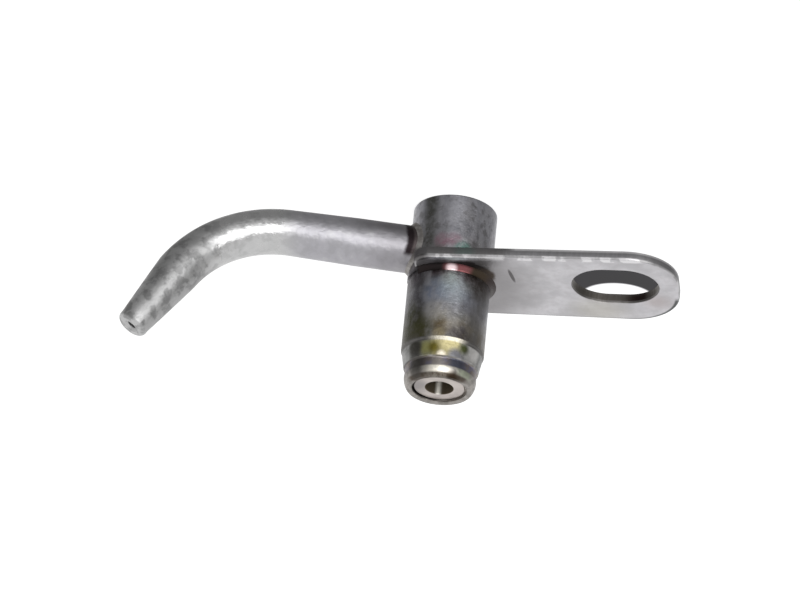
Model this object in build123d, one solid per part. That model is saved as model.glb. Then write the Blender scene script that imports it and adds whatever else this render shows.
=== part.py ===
from build123d import *

import math
import os

# Oil jet that cools a piston from below: a turned valve body, a steel plate that bolts it
# to the cylinder block, a bent jet tube brazed into the head, and a ball valve inside.
# Millimetres. Z runs along the valve body and points out of the spigot's free end.
# The origin is where that axis crosses the face that seats on the block. The plate's slot
# lies on the -X side and the jet tube leaves on the +X side.

os.makedirs("parts", exist_ok=True)

# Valve body, outside
HEAD_RADIUS = 6.1
HEAD_HEIGHT = 10.1
HEAD_CHAMFER = 0.3
SPIGOT_RADIUS = 6.0
SPIGOT_LENGTH = 11.45
RELIEF_WIDTH = 0.7
RELIEF_DEPTH = 0.2
TAPER_START = 11.75
TAPER_START_RADIUS = 5.84
TAPER_END = 14.1
TAPER_END_RADIUS = 5.42
NECK = 14.4
NECK_RADIUS = 5.13
NOSE_RADIUS = 5.22
NOSE_ROUND_START = 15.6
NOSE_ROUND_END = 17.1
RIM_RADIUS = 4.75
RIM_BULGE = 0.12
RIM_BEVEL = 0.1
BODY_REACH = 17.2

# Valve body, inside
SEAT_RING_RADIUS = 3.7
SEAT_RING_LENGTH = 3.35
SEAT_RING_RECESS = 0.4
MOUTH_RADIUS = 3.95
MOUTH_DEPTH = 0.8
MOUTH_BEVEL = 0.15
BALL_CHAMBER_RADIUS = 3.5
BALL_CHAMBER_LENGTH = 5.3
SPRING_BORE_RADIUS = 2.6
SPRING_FLOOR = 2.9
PORT_RADIUS = 1.9
PORT_BELOW_TUBE = 2.4
DRILL_POINT_ANGLE = 118.0

# Mounting plate
PLATE_THICKNESS = 1.6
PLATE_ROOT_WIDTH = 17.2
PLATE_END_WIDTH = 18.5
PLATE_ROOT_X = 4.6
PLATE_END_X = -33.4
PLATE_ROOT_CORNER = 2.4
PLATE_END_CORNER = 7.5
PLATE_FACE_EDGE = 0.45
PLATE_BACK_EDGE = 0.15
SLOT_X = -24.25
SLOT_Y = -0.9
SLOT_LENGTH = 12.6
SLOT_WIDTH = 10.1
SLOT_EDGE = 0.3
BRAZE_BEVEL = 0.7

# Jet tube
TUBE_RADIUS = 3.5
TUBE_WALL = 1.0
TUBE_HEIGHT = -4.85
TUBE_HEADING = -12.8
TUBE_SEAT = 3.3
TUBE_ROUND_UNTIL = 14.0
BEND_START = 23.6
BEND_RADIUS = 18.3
BEND_ANGLE = 59.2
BEND_PINCH = 0.25
BEND_SPREAD = 0.1
TIP_LENGTH = 11.2
TIP_RADIUS = 2.32
TIP_LAND = 1.2
TIP_ROUND = 0.7
ORIFICE_RADIUS = 0.7
ORIFICE_LAND = 1.6
ORIFICE_BEVEL = 0.4

# Valve and brazing
SEAT_BORE_RADIUS = 2.0
SEAT_CONE = 0.5
SEAT_ENTRY_BEVEL = 0.15
BALL_RADIUS = 3.0
BALL_GAP = 0.04
SPRING_COIL_RADIUS = 2.1
SPRING_WIRE_RADIUS = 0.3
SPRING_TURNS = 6.5
SPRING_WIRE_SIDES = 8
SPRING_GROUND = 0.12
SPRING_GAP = 0.03
BRAZE_GAP = 0.05
PLATE_FILLET = 0.75
TUBE_FILLET = 0.5
FILLET_HOLLOW = 0.12
BRAZE_SETBACK = 0.6

# Places that follow from those sizes
head_end = -PLATE_THICKNESS - HEAD_HEIGHT
ring_outer_end = BODY_REACH - SEAT_RING_RECESS
ring_inner_end = ring_outer_end - SEAT_RING_LENGTH
chamber_end = ring_inner_end - BALL_CHAMBER_LENGTH
port_end = TUBE_HEIGHT - PORT_BELOW_TUBE
plate_hole_radius = HEAD_RADIUS + BRAZE_GAP
tube_hole_radius = TUBE_RADIUS + BRAZE_GAP


def straight_line(points):
    """A chain of straight edges in the XZ plane through (radius, height) points."""
    return Polyline(*[(radius, 0, height) for radius, height in points])


def hollow_arc(start, end, depth):
    """An arc in the XZ plane between two (radius, height) points, hollow by a depth to the
    left of the way from start to end, or bulging where the depth is negative."""
    first = Vector(start[0], 0, start[1])
    last = Vector(end[0], 0, end[1])
    along = (last - first).normalized()
    sideways = Vector(-along.Z, 0, along.X)
    return ThreePointArc(first, (first + last) / 2 + sideways * depth, last)


def turned(points):
    """One solid of revolution about Z from (radius, height) points of a closed outline."""
    return revolve(make_face(straight_line(points + points[:1])), axis=Axis.Z)


def on_tube(shape):
    """Places a shape drawn along +X from the body's axis on the jet tube's own line."""
    return Pos(0, 0, TUBE_HEIGHT) * Rot(0, 0, TUBE_HEADING) * shape


def rod_along_x(radius, start, end):
    """A round bar on the X axis between two distances from the origin."""
    return extrude(Plane.YZ.offset(start) * Circle(radius), end - start)


def turned_body():
    """The valve body's turned blank with its stepped bore, before the tube's hole."""
    shoulder = BALL_CHAMBER_RADIUS - SPRING_BORE_RADIUS
    drill_point = PORT_RADIUS / math.tan(math.radians(DRILL_POINT_ANGLE / 2))
    nose_side = (NOSE_RADIUS, NOSE_ROUND_START)
    rim_edge = (RIM_RADIUS, NOSE_ROUND_END)
    outside = straight_line(
        [
            (0, head_end),
            (HEAD_RADIUS - HEAD_CHAMFER, head_end),
            (HEAD_RADIUS, head_end + HEAD_CHAMFER),
            (HEAD_RADIUS, 0),
            (SPIGOT_RADIUS - RELIEF_DEPTH, 0),
            (SPIGOT_RADIUS - RELIEF_DEPTH, RELIEF_WIDTH),
            (SPIGOT_RADIUS, RELIEF_WIDTH),
            (SPIGOT_RADIUS, SPIGOT_LENGTH),
            (TAPER_START_RADIUS, TAPER_START),
            (TAPER_END_RADIUS, TAPER_END),
            (NECK_RADIUS, NECK),
            nose_side,
        ]
    )
    nose_round = hollow_arc(nose_side, rim_edge, -RIM_BULGE)
    mouth_and_bore = straight_line(
        [
            rim_edge,
            (RIM_RADIUS - RIM_BEVEL, BODY_REACH),
            (MOUTH_RADIUS + MOUTH_BEVEL, BODY_REACH),
            (MOUTH_RADIUS, BODY_REACH - MOUTH_BEVEL),
            (MOUTH_RADIUS, BODY_REACH - MOUTH_DEPTH),
            (SEAT_RING_RADIUS, BODY_REACH - MOUTH_DEPTH),
            (SEAT_RING_RADIUS, ring_inner_end),
            (BALL_CHAMBER_RADIUS, ring_inner_end),
            (BALL_CHAMBER_RADIUS, chamber_end + shoulder),
            (SPRING_BORE_RADIUS, chamber_end),
            (SPRING_BORE_RADIUS, SPRING_FLOOR),
            (PORT_RADIUS, SPRING_FLOOR),
            (PORT_RADIUS, port_end),
            (0, port_end - drill_point),
            (0, head_end),
        ]
    )
    return revolve(make_face(outside + nose_round + mouth_and_bore), axis=Axis.Z)


def valve_body():
    """The turned body, cross-drilled for the jet tube and for its oil way."""
    tube_hole = on_tube(rod_along_x(tube_hole_radius, TUBE_SEAT, HEAD_RADIUS * 2))
    oil_way = on_tube(rod_along_x(PORT_RADIUS, 0, TUBE_SEAT + 1))
    return turned_body() - tube_hole - oil_way


def mounting_plate():
    """Stamped plate: hugs the body, ends flush under the tube, and has the bolt slot."""
    half_root = PLATE_ROOT_WIDTH / 2
    half_end = PLATE_END_WIDTH / 2
    outline = make_face(
        Polyline(
            (PLATE_ROOT_X, -half_root),
            (PLATE_ROOT_X, half_root),
            (PLATE_END_X, half_end),
            (PLATE_END_X, -half_end),
            close=True,
        )
    )
    corners = outline.vertices().sort_by(Axis.X)
    outline = fillet(corners[-2:], PLATE_ROOT_CORNER)
    corners = outline.vertices().sort_by(Axis.X)
    outline = fillet(corners[:2], PLATE_END_CORNER)
    blank = extrude(outline, -PLATE_THICKNESS)
    blank = fillet(blank.faces().sort_by(Axis.Z)[-1].edges(), PLATE_FACE_EDGE)
    blank = chamfer(blank.faces().sort_by(Axis.Z)[0].edges(), PLATE_BACK_EDGE)
    slot = extrude(Pos(SLOT_X, SLOT_Y) * SlotOverall(SLOT_LENGTH, SLOT_WIDTH), -PLATE_THICKNESS)
    plate = blank - slot
    slot_rim = plate.faces().sort_by(Axis.Z)[-1].inner_wires()[0]
    plate = fillet(slot_rim.edges(), SLOT_EDGE)
    hole = turned(
        [
            (0, 0),
            (plate_hole_radius + BRAZE_BEVEL, 0),
            (plate_hole_radius, -BRAZE_BEVEL),
            (plate_hole_radius, -PLATE_THICKNESS),
            (0, -PLATE_THICKNESS),
        ]
    )
    return plate - hole


def ellipse_at_bend(width_radius, height_radius, angle):
    """The tube's section in the bend, turned by an angle from the bend's start."""
    start = Plane.YZ.offset(BEND_START) * Ellipse(width_radius, height_radius)
    centre = Axis((BEND_START, 0, BEND_RADIUS), (0, -1, 0))
    return start.rotate(centre, angle)


def tip_plane(distance):
    """The plane across the tube's last run, at a distance past the end of the bend."""
    turn = math.radians(BEND_ANGLE)
    heading = Vector(math.cos(turn), 0, math.sin(turn))
    bend_end = Vector(
        BEND_START + BEND_RADIUS * math.sin(turn),
        0,
        BEND_RADIUS * (1 - math.cos(turn)),
    )
    return Plane(origin=bend_end + heading * distance, x_dir=(0, 1, 0), z_dir=heading)


def tube_outside():
    """The tube's outside along +X: round, pinched in the bend, swaged round at the tip."""
    width_radius = TUBE_RADIUS + BEND_SPREAD
    height_radius = TUBE_RADIUS - BEND_PINCH
    straight = rod_along_x(TUBE_RADIUS, TUBE_SEAT, TUBE_ROUND_UNTIL)
    round_face = Plane.YZ.offset(TUBE_ROUND_UNTIL) * Circle(TUBE_RADIUS)
    pinched_face = ellipse_at_bend(width_radius, height_radius, 0)
    lead_in = loft([round_face, pinched_face])
    bend_axis = Axis((BEND_START, 0, BEND_RADIUS), (0, -1, 0))
    bend = revolve(pinched_face, axis=bend_axis, revolution_arc=BEND_ANGLE)
    last_bend_face = ellipse_at_bend(width_radius, height_radius, BEND_ANGLE)
    swage_face = tip_plane(TIP_LENGTH - TIP_LAND) * Circle(TIP_RADIUS)
    swage = loft([last_bend_face, swage_face])
    return straight + lead_in + bend + swage + extrude(swage_face, TIP_LAND)


def tube_bore():
    """The tube's inside along +X: round all the way, then a cone down to the orifice."""
    radius = TUBE_RADIUS - TUBE_WALL
    straight = rod_along_x(radius, TUBE_SEAT, BEND_START)
    section = Plane.YZ.offset(BEND_START) * Circle(radius)
    bend_axis = Axis((BEND_START, 0, BEND_RADIUS), (0, -1, 0))
    bend = revolve(section, axis=bend_axis, revolution_arc=BEND_ANGLE)
    throat = tip_plane(TIP_LENGTH - ORIFICE_LAND) * Circle(ORIFICE_RADIUS)
    cone = loft([tip_plane(0) * Circle(radius), throat])
    return straight + bend + cone + extrude(throat, ORIFICE_LAND)


def jet_tube():
    """The bent tube with its bore, its swaged tip and the jet's orifice."""
    outer = tube_outside()
    rim = outer.edges().filter_by(GeomType.CIRCLE).sort_by(Axis.Z)[-1]
    outer = fillet(rim, TIP_ROUND)
    bevel_face = tip_plane(TIP_LENGTH) * Circle(ORIFICE_RADIUS + ORIFICE_BEVEL)
    throat_face = tip_plane(TIP_LENGTH - ORIFICE_BEVEL) * Circle(ORIFICE_RADIUS)
    bevel = loft([throat_face, bevel_face])
    return on_tube(outer - tube_bore() - bevel)


def seat_ring():
    """The ring pressed into the nose: oil comes in through it and the ball closes it."""
    bevel = SEAT_ENTRY_BEVEL
    return turned(
        [
            (SEAT_BORE_RADIUS + SEAT_CONE, ring_inner_end),
            (SEAT_RING_RADIUS, ring_inner_end),
            (SEAT_RING_RADIUS, ring_outer_end - bevel),
            (SEAT_RING_RADIUS - bevel, ring_outer_end),
            (SEAT_BORE_RADIUS + bevel, ring_outer_end),
            (SEAT_BORE_RADIUS, ring_outer_end - bevel),
            (SEAT_BORE_RADIUS, ring_inner_end + SEAT_CONE),
        ]
    )


def ball_height():
    """Height of the ball's centre when it lies on the ring's 45 degree cone."""
    touch = BALL_RADIUS * math.sqrt(0.5)
    cone_height = ring_inner_end + SEAT_CONE - (touch - SEAT_BORE_RADIUS)
    return cone_height - touch - BALL_GAP


def check_ball():
    """The steel ball that closes the inlet until the oil pressure lifts it."""
    return Pos(0, 0, ball_height()) * Sphere(BALL_RADIUS)


def valve_spring():
    """Compression spring between the body's step and the ball, with ground ends."""
    reach = BALL_RADIUS + SPRING_WIRE_RADIUS + SPRING_GAP
    top = ball_height() - math.sqrt(reach**2 - SPRING_COIL_RADIUS**2)
    bottom = SPRING_FLOOR + SPRING_WIRE_RADIUS + SPRING_GAP - SPRING_GROUND
    pitch = (top - bottom) / SPRING_TURNS
    path = Pos(0, 0, bottom) * Helix(pitch, top - bottom, SPRING_COIL_RADIUS)
    section = Plane(origin=path @ 0, z_dir=path % 0) * RegularPolygon(
        SPRING_WIRE_RADIUS, SPRING_WIRE_SIDES
    )
    coil = sweep(section, path=path, is_frenet=True)
    floor_cut = SPRING_FLOOR + SPRING_GAP
    block = Box(8, 8, top - floor_cut + 4, align=(Align.CENTER, Align.CENTER, Align.MIN))
    return coil & (Pos(0, 0, floor_cut) * block)


def plate_braze():
    """Brazing metal between body and plate: a hollow fillet on each side, the film in the
    joint and the filled bevel. It stops just short of the plate's end."""
    groove = SPIGOT_RADIUS - RELIEF_DEPTH
    bevel_end = plate_hole_radius + BRAZE_BEVEL
    head_foot = (HEAD_RADIUS, -PLATE_THICKNESS - PLATE_FILLET)
    plate_back_foot = (HEAD_RADIUS + PLATE_FILLET, -PLATE_THICKNESS)
    spigot_foot = (SPIGOT_RADIUS, RELIEF_WIDTH)
    plate_face_foot = (bevel_end, 0)
    body_side = straight_line(
        [
            spigot_foot,
            (groove, RELIEF_WIDTH),
            (groove, 0),
            (HEAD_RADIUS, 0),
            head_foot,
        ]
    )
    back_fillet = hollow_arc(head_foot, plate_back_foot, FILLET_HOLLOW)
    plate_side = straight_line(
        [
            plate_back_foot,
            (plate_hole_radius, -PLATE_THICKNESS),
            (plate_hole_radius, -BRAZE_BEVEL),
            plate_face_foot,
        ]
    )
    face_fillet = hollow_arc(plate_face_foot, spigot_foot, FILLET_HOLLOW)
    ring = revolve(make_face(body_side + back_fillet + plate_side + face_fillet), axis=Axis.Z)
    beyond = Pos(PLATE_ROOT_X - BRAZE_SETBACK, 0, 0) * Box(
        2 * bevel_end, 4 * bevel_end, 4 * bevel_end, align=(Align.MIN, Align.CENTER, Align.CENTER)
    )
    return ring - beyond


def tube_braze():
    """Brazing metal round the jet tube: the film in its hole and the bead outside."""
    column = Cylinder(HEAD_RADIUS, -head_end, align=(Align.CENTER, Align.CENTER, Align.MAX))
    reach = HEAD_RADIUS * 2
    stub = on_tube(rod_along_x(TUBE_RADIUS, TUBE_SEAT, reach))
    joined = column + stub
    seam = [
        edge
        for edge in joined.edges()
        if edge.geom_type not in (GeomType.CIRCLE, GeomType.LINE)
    ]
    beaded = chamfer(seam, TUBE_FILLET)
    hole = on_tube(rod_along_x(tube_hole_radius, TUBE_SEAT, reach))
    return beaded - (column - hole) - stub


def write_parts():
    """Builds every piece and writes one file for each."""
    pieces = {
        "valve_body": valve_body(),
        "mounting_plate": mounting_plate(),
        "jet_tube": jet_tube(),
        "seat_ring": seat_ring(),
        "check_ball": check_ball(),
        "valve_spring": valve_spring(),
        "plate_braze": plate_braze(),
        "tube_braze": tube_braze(),
    }
    for name, shape in pieces.items():
        export_step(shape, f"parts/{name}.step")


write_parts()
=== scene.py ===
"""Looks of a piston cooling nozzle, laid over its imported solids.

Metres. The origin is where the spigot's axis crosses the plate's seating face, +Z points out of
the spigot's free end, the plate's slot lies towards -X and the jet tube leaves towards +X.
"""

import math

import bmesh
import bpy
from mathutils import Matrix, Vector


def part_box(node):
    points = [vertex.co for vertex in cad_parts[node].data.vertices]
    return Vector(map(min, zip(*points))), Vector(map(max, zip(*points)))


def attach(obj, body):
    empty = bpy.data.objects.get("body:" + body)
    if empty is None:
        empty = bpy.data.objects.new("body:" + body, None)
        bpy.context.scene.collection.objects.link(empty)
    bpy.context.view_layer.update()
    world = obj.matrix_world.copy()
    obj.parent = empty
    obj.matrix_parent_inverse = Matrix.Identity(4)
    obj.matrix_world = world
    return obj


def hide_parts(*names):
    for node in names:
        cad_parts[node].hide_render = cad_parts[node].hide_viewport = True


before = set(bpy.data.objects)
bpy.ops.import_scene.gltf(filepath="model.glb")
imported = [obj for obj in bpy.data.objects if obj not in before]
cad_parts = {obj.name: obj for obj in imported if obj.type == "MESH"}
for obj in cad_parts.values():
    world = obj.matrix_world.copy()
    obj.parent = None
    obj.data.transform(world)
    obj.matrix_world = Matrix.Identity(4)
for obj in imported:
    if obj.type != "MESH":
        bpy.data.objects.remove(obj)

bl_info = {
    "name": "Piston Cooling Nozzle",
    "version": (1, 0, 0),
    "blender": (4, 5, 0),
    "location": "3D View > Sidebar > Cooling Nozzle",
    "description": "Body, plate, jet tube and ball valve of a piston cooling nozzle",
    "category": "Add Mesh",
}

MM = 0.001
HAIR = MM / 1000  # nearer than this is the same place
SHARP_ANGLE = math.radians(30)
FINE_SIDES = 128
SIDES = 96
CORNER_STEPS = 24
OVAL_STEPS = 12
BEND_STEPS = 48
SWAGE_STEPS = 10
ROUNDING_STEPS = 6
HOLLOW_STEPS = 8

body_low, body_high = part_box("valve_body")
plate_low, plate_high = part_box("mounting_plate")
ring_low, ring_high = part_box("seat_ring")

HEAD_RADIUS = (body_high.x - body_low.x) / 2
HEAD_END = body_low.z
BODY_REACH = body_high.z
PLATE_BACK = plate_low.z
PLATE_END = plate_low.x
PLATE_ROOT = plate_high.x
RING_RADIUS = (ring_high.x - ring_low.x) / 2
RING_INNER_END = ring_low.z
RING_OUTER_END = ring_high.z


def number(description, value, **more):
    """A number that a user may change. Its label in the panel comes from its own name."""
    return bpy.props.FloatProperty(description=description, default=value, precision=5, **more)


def size(description, millimetres):
    """A length, kept in metres."""
    return number(description, millimetres * MM, unit="LENGTH")


def angle(description, degrees):
    """An angle, kept in radians."""
    return number(description, math.radians(degrees), unit="ROTATION")


def colour(description, *tint):
    """A colour that a user may change."""
    return bpy.props.FloatVectorProperty(
        description=description, default=tint, size=3, subtype="COLOR", min=0, max=1
    )


class NozzleSizes(bpy.types.PropertyGroup):
    """Sizes of the pieces that are modelled here, the same as those of the solids."""

    spigot_radius: size("Outside of the spigot", 6.0)
    spigot_end: size("Height where the spigot's full width ends", 11.45)
    relief_depth: size("Undercut between plate and spigot", 0.2)
    relief_width: size("Width of that undercut", 0.7)
    taper_start: size("Height where the long taper starts", 11.75)
    taper_start_radius: size("Radius of the taper's wide end", 5.84)
    taper_end: size("Height where the taper ends", 14.1)
    taper_end_radius: size("Radius of the taper's narrow end", 5.42)
    neck: size("Height of the neck behind the nose", 14.4)
    neck_radius: size("Radius of the neck", 5.13)
    nose_radius: size("Outside of the nose", 5.22)
    nose_round_start: size("Height where the nose starts to round off", 15.6)
    nose_round_end: size("Height where that rounding ends", 17.1)
    rim_radius: size("Radius of the rim's edge", 4.75)
    rim_bulge: size("How far the nose's rounding bulges", 0.12)
    rim_bevel: size("Bevel at the rim's edge", 0.1)
    edge_round: size("Rounding of the body's outer edges", 0.3)
    neck_round: size("Rounding in the neck", 0.25)
    fine_round: size("Rounding of the bevels' edges", 0.05)
    mouth_radius: size("Bore round the seat ring, a little wider than the ring", 3.95)
    mouth_depth: size("Depth of that bore", 0.8)
    mouth_bevel: size("Bevel at the mouth", 0.15)
    chamber_radius: size("Bore in which the ball moves", 3.5)
    chamber_end: size("Height of the step to the spring bore", 8.15)
    spring_bore: size("Bore that guides the spring", 2.6)
    spring_floor: size("Height of the step that carries the spring", 2.9)
    port_radius: size("Oil way below the spring", 1.9)
    port_end: size("Height where the oil way's full width ends", -7.25)
    drill_point: size("Length of the drill's cone below that", 1.14)
    seat_bore: size("Oil inlet through the seat ring", 2.0)
    seat_cone: size("Height of the cone on which the ball lies", 0.5)
    ring_round: size("Rounding of the seat ring's outer end", 0.15)
    plate_root_width: size("Width of the plate's root", 17.2)
    plate_end_width: size("Width of the plate's free end", 18.5)
    plate_root_corner: size("Corner radius beside the body", 2.4)
    plate_end_corner: size("Corner radius at the free end", 7.5)
    plate_edge: size("Rolled edge of the seating face", 0.45)
    plate_back_edge: size("Rolled edge of the plate's other face", 0.15)
    slot_x: size("Centre of the bolt slot", -24.25)
    slot_y: size("Centre of the bolt slot", -0.9)
    slot_length: size("Length over the slot's round ends", 12.6)
    slot_width: size("Width for an M10 bolt", 10.1)
    slot_edge: size("Rolled edge of the slot", 0.3)
    braze_gap: size("Film of brazing metal in a joint", 0.05)
    braze_bevel: size("Bevel of the plate's hole", 0.7)
    plate_fillet: size("Leg of the fillet on the head's side", 0.75)
    fillet_hollow: size("Depth of the hollow of both fillets", 0.12)
    braze_setback: size("Brazing metal stops short of the plate's end", 0.6)
    tube_radius: size("Outside of the jet tube", 3.5)
    tube_bore: size("Inside of the jet tube", 2.5)
    tube_height: size("Height of the tube's straight run", -4.85)
    tube_heading: angle("Turn of the tube about the body, from +X", -12.8)
    tube_seat: size("Distance of the tube's inner end from the axis", 3.3)
    round_until: size("Distance at which the tube starts to turn oval", 14.0)
    bend_start: size("Distance of the bend from the axis", 23.6)
    bend_radius: size("Radius of the bend's centre line", 18.3)
    bend_angle: angle("How far the tube is bent up", 59.2)
    bend_height: size("Half height of the tube in the bend", 3.25)
    bend_width: size("Half width of the tube in the bend", 3.6)
    tip_length: size("Length of the run after the bend", 11.2)
    tip_radius: size("Outside of the swaged tip", 2.32)
    tip_land: size("Length of the tip's even end", 1.2)
    tip_round: size("Radius of the tip's rim", 0.7)
    orifice: size("Hole that the jet leaves by", 0.7)
    orifice_land: size("Length of the orifice", 1.6)
    orifice_bevel: size("Bevel round the orifice", 0.4)


class NozzleColours(bpy.types.PropertyGroup):
    """Colours of the finishes."""

    plate: colour("Satin face of the stamped plate", 0.55, 0.54, 0.56)
    tube: colour("Drawn tube", 0.425, 0.418, 0.445)
    ring: colour("Turned seat ring", 0.55, 0.50, 0.47)
    ball: colour("Polished ball", 0.72, 0.72, 0.73)
    spring: colour("Drawn spring wire", 0.4, 0.4, 0.42)
    copper: colour("Copper of the brazed joints", 0.23, 0.085, 0.09)
    scale: colour("Burnt flux and scale beside the joints", 0.045, 0.032, 0.03)
    straw: colour("Yellow passivation on the taper", 0.44, 0.39, 0.21)
    violet: colour("Blue-grey tint on the taper", 0.20, 0.19, 0.25)


class NozzleStudio(bpy.types.PropertyGroup):
    """Camera, lamp and room."""

    camera_turn: angle("Turn of the view about Z, from looking along +Y", -8.13)
    camera_height: angle("Height of the camera above the plate's plane", 27.37)
    camera_roll: angle("The picture is seen upside down and a little turned", 185.69)
    camera_distance: size("Distance of the camera from its target", 800)
    lens: number("Focal length in millimetres", 248.4)
    target_right: size("Target beside the origin, as the camera sees it", 6.854)
    target_up: size("Target above the origin, as the camera sees it", 2.897)
    key_power: number("Power of the lamp, in watts", 0.46)
    key_from: bpy.props.FloatVectorProperty(
        description="Direction from the origin to the lamp", default=(-0.457, -0.860, 0.225)
    )
    key_distance: size("Distance of the lamp from the origin", 300)
    key_width: size("Width of the lamp", 310)
    key_height: size("Height of the lamp", 240)
    dim: number("How bright the room behind the camera is", 0.3)


def sizes():
    return bpy.context.scene.nozzle_sizes


def colours():
    return bpy.context.scene.nozzle_colours


def studio():
    return bpy.context.scene.nozzle_studio


def start_clean():
    """Back to object mode with nothing selected."""
    if bpy.context.object and bpy.context.object.mode != "OBJECT":
        bpy.ops.object.mode_set(mode="OBJECT")
    bpy.ops.object.select_all(action="DESELECT")


def only(piece):
    """Makes one piece the selected and active one."""
    start_clean()
    piece.select_set(True)
    bpy.context.view_layer.objects.active = piece


def edit(piece):
    """Opens a piece in edit mode with everything deselected."""
    only(piece)
    bpy.ops.object.mode_set(mode="EDIT")
    bpy.ops.mesh.select_all(action="DESELECT")


def pick(piece, mode, wanted):
    """In edit mode, selects the vertices or edges that pass a test."""
    bpy.ops.mesh.select_mode(type=mode)
    bpy.ops.mesh.select_all(action="DESELECT")
    cage = bmesh.from_edit_mesh(piece.data)
    for element in {"VERT": cage.verts, "EDGE": cage.edges}[mode]:
        element.select_set(wanted(element))
    bmesh.update_edit_mesh(piece.data)


def rounded(corners):
    """An outline of (radius, height) points from (radius, height, rounding) corners."""
    points = []
    count = len(corners)
    for index, (radius, height, rounding) in enumerate(corners):
        here = Vector((radius, height))
        if not rounding:
            points.append(here)
            continue
        before = Vector(corners[(index - 1) % count][:2])
        after = Vector(corners[(index + 1) % count][:2])
        back = (before - here).normalized()
        on = (after - here).normalized()
        half = back.angle(on) / 2
        reach = rounding / math.tan(half)
        centre = here + (back + on).normalized() * rounding / math.sin(half)
        first = here + back * reach - centre
        last = here + on * reach - centre
        for step in range(ROUNDING_STEPS + 1):
            share = step / ROUNDING_STEPS
            points.append(centre + (first * (1 - share) + last * share).normalized() * rounding)
    return [(point.x, point.y) for point in points]


def run(start, end, steps):
    """Points at even steps from one outline point to another, without the first."""
    return [
        tuple(first + (last - first) * step / steps for first, last in zip(start, end))
        for step in range(1, steps + 1)
    ]


def hollow(start, end, depth):
    """Points of a shallow arc between two outline points, hollow to the left of the way, or
    bulging where the depth is negative."""
    first, last = Vector(start), Vector(end)
    along = (last - first).normalized()
    left = Vector((-along.y, along.x))
    points = []
    for step in range(1, HOLLOW_STEPS):
        share = step / HOLLOW_STEPS
        points.append(first.lerp(last, share) + left * depth * 4 * share * (1 - share))
    return [(point.x, point.y) for point in points]


def turn(name, outline, sides, closed=True):
    """A turned piece, left in edit mode: a ring drawn out along Z from each (radius, height) of
    an outline to the next."""
    start_clean()
    radius, height = outline[0]
    bpy.ops.mesh.primitive_circle_add(vertices=sides, radius=radius, location=(0, 0, height))
    piece = bpy.context.object
    piece.name = name
    bpy.ops.object.transform_apply()
    bpy.ops.object.mode_set(mode="EDIT")
    bpy.ops.mesh.select_all(action="SELECT")
    for next_radius, next_height in outline[1:] + (outline[:1] if closed else []):
        rise = next_height - height
        grow = next_radius / radius
        bpy.ops.mesh.extrude_edges_move(TRANSFORM_OT_translate={"value": (0, 0, rise)})
        bpy.ops.transform.resize(value=(grow, grow, 1), center_override=(0, 0, next_height))
        radius, height = next_radius, next_height
    return piece


def merge_doubles():
    """Selects the whole mesh and merges the vertices that lie in one place."""
    bpy.ops.mesh.select_all(action="SELECT")
    bpy.ops.mesh.remove_doubles(threshold=HAIR / 2)


def close_up():
    """Merges doubles and turns every face outwards."""
    merge_doubles()
    bpy.ops.mesh.normals_make_consistent()


def roll(piece, width, segments, wanted):
    """Rounds off the edges whose two ends pass a test."""
    pick(piece, "EDGE", lambda e: all(wanted(v) for v in e.verts))
    bpy.ops.mesh.bevel(offset=width, segments=segments, affect="EDGES")


def tube_heading():
    """The way the jet tube leaves the body, seen from above."""
    heading = sizes().tube_heading
    return Vector((math.cos(heading), math.sin(heading), 0))


def cut(piece, cutter):
    """Takes the cutter's solid out of the piece and deletes the cutter."""
    only(piece)
    knife = piece.modifiers.new("cut", "BOOLEAN")
    knife.operation = "DIFFERENCE"
    knife.solver = "EXACT"
    knife.object = cutter
    bpy.ops.object.modifier_apply(modifier=knife.name)
    bpy.data.objects.remove(cutter)


def dress(piece, material):
    """Gives a piece, or a CAD node's object, one material."""
    piece.data.materials.clear()
    piece.data.materials.append(material)


def settle(piece, material, body, *nodes):
    """Applies the piece's place, shades it and lets it stand for its CAD nodes."""
    only(piece)
    bpy.ops.object.transform_apply()
    bpy.ops.object.shade_smooth_by_angle(angle=SHARP_ANGLE)
    dress(piece, material)
    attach(piece, body)
    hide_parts(*nodes)


def maths(operation, swapped=False):
    """A method that adds one maths node to a wire's tree."""

    def method(self, other):
        first, second = (other, self) if swapped else (self, other)
        return self.finish.node("Math", {"operation": operation}, first, second)

    return method


class Wire:
    """A shader socket that takes part in sums, so that masks read as formulas."""

    __add__, __radd__ = maths("ADD"), maths("ADD", swapped=True)
    __sub__, __rsub__ = maths("SUBTRACT"), maths("SUBTRACT", swapped=True)
    __mul__, __rmul__ = maths("MULTIPLY"), maths("MULTIPLY", swapped=True)
    __truediv__ = maths("DIVIDE")

    def __init__(self, finish, socket):
        self.finish = finish
        self.socket = socket

    def between(self, low, high):
        """0 on low's side and 1 on high's side, with a soft step between."""
        return self.finish.node(
            "MapRange", {"interpolation_type": "SMOOTHSTEP"}, self, low, high, 0.0, 1.0
        )


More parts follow.
